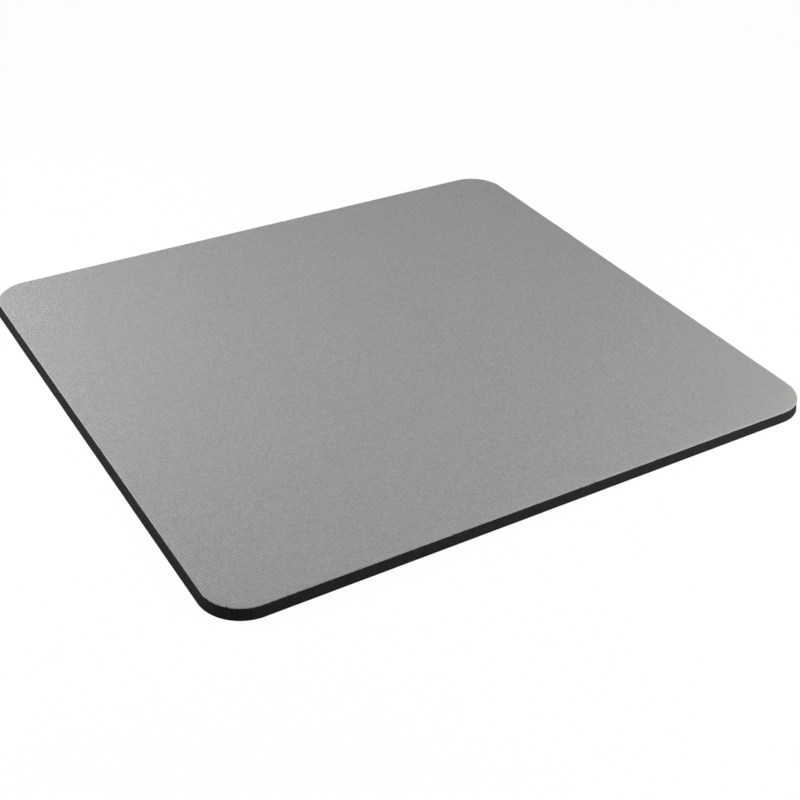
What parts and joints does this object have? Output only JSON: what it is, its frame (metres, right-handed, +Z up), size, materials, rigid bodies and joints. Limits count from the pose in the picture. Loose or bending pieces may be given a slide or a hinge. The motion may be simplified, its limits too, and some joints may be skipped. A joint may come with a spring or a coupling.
{
  "type": "mouse pad",
  "caption": "Flat rounded-corner mouse pad: light grey knitted cloth bonded to a black sponge-rubber base with a plain cut edge.",
  "frame": {"origin": "middle of the underside, on the surface that the pad lies on", "axes": "+X along the longer sides, +Y from the side nearest the user to the far side, +Z up through the cloth"},
  "size_m": [0.24, 0.22, 0.0045],
  "materials": {
    "cloth": "light grey fine warp-knit polyester, matte with a soft sheen",
    "film": "hot-melt adhesive film, dull and slightly cloudy at the cut edge",
    "sponge": "black closed-cell sponge rubber, matte, finely pitted where it is cut"
  },
  "bodies": {
    "root": {"rubber_base": "sponge", "bonding_film": "film", "cloth_top": "cloth"}
  },
  "joints": []
}
